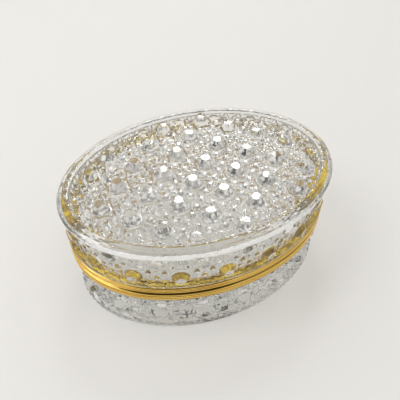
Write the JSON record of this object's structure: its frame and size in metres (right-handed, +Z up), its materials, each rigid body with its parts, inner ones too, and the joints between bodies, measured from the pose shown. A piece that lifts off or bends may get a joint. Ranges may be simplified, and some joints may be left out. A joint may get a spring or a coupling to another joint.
{
  "type": "trinket box",
  "caption": "Oval clear crystal trinket box with a raised button pattern, gilt brass rims and a lid hinged along its back long side.",
  "frame": {"origin": "middle of the base crystal's flat underside", "axes": "+Z up, X along the long axis of the oval, -Y the front, +Y the hinge side"},
  "size_m": [0.14, 0.1067, 0.0639],
  "materials": {
    "crystal": "fire-polished pressed crystal",
    "gilt_brass": "polished gilt",
    "rim_cement": "matte plaster",
    "pin_brass": "drawn wire"
  },
  "bodies": {
    "base": {"base_crystal": "crystal", "base_rim": "gilt_brass", "base_cement": "rim_cement", "base_lip": "gilt_brass", "base_hinge_leaf": "gilt_brass", "base_knuckle_left": "gilt_brass", "base_knuckle_middle": "gilt_brass", "base_knuckle_right": "gilt_brass", "hinge_pin": "pin_brass"},
    "lid": {"lid_crystal": "crystal", "lid_rim": "gilt_brass", "lid_cement": "rim_cement", "lid_hinge_leaf": "gilt_brass", "lid_knuckle_left": "gilt_brass", "lid_knuckle_right": "gilt_brass"}
  },
  "joints": [
    {"name": "lid_hinge", "type": "hinge", "parent": "base", "child": "lid", "pos_m": [0, 0.0534, 0.0328], "axis": [-1, 0, 0], "range_deg": [0, 99]}
  ]
}
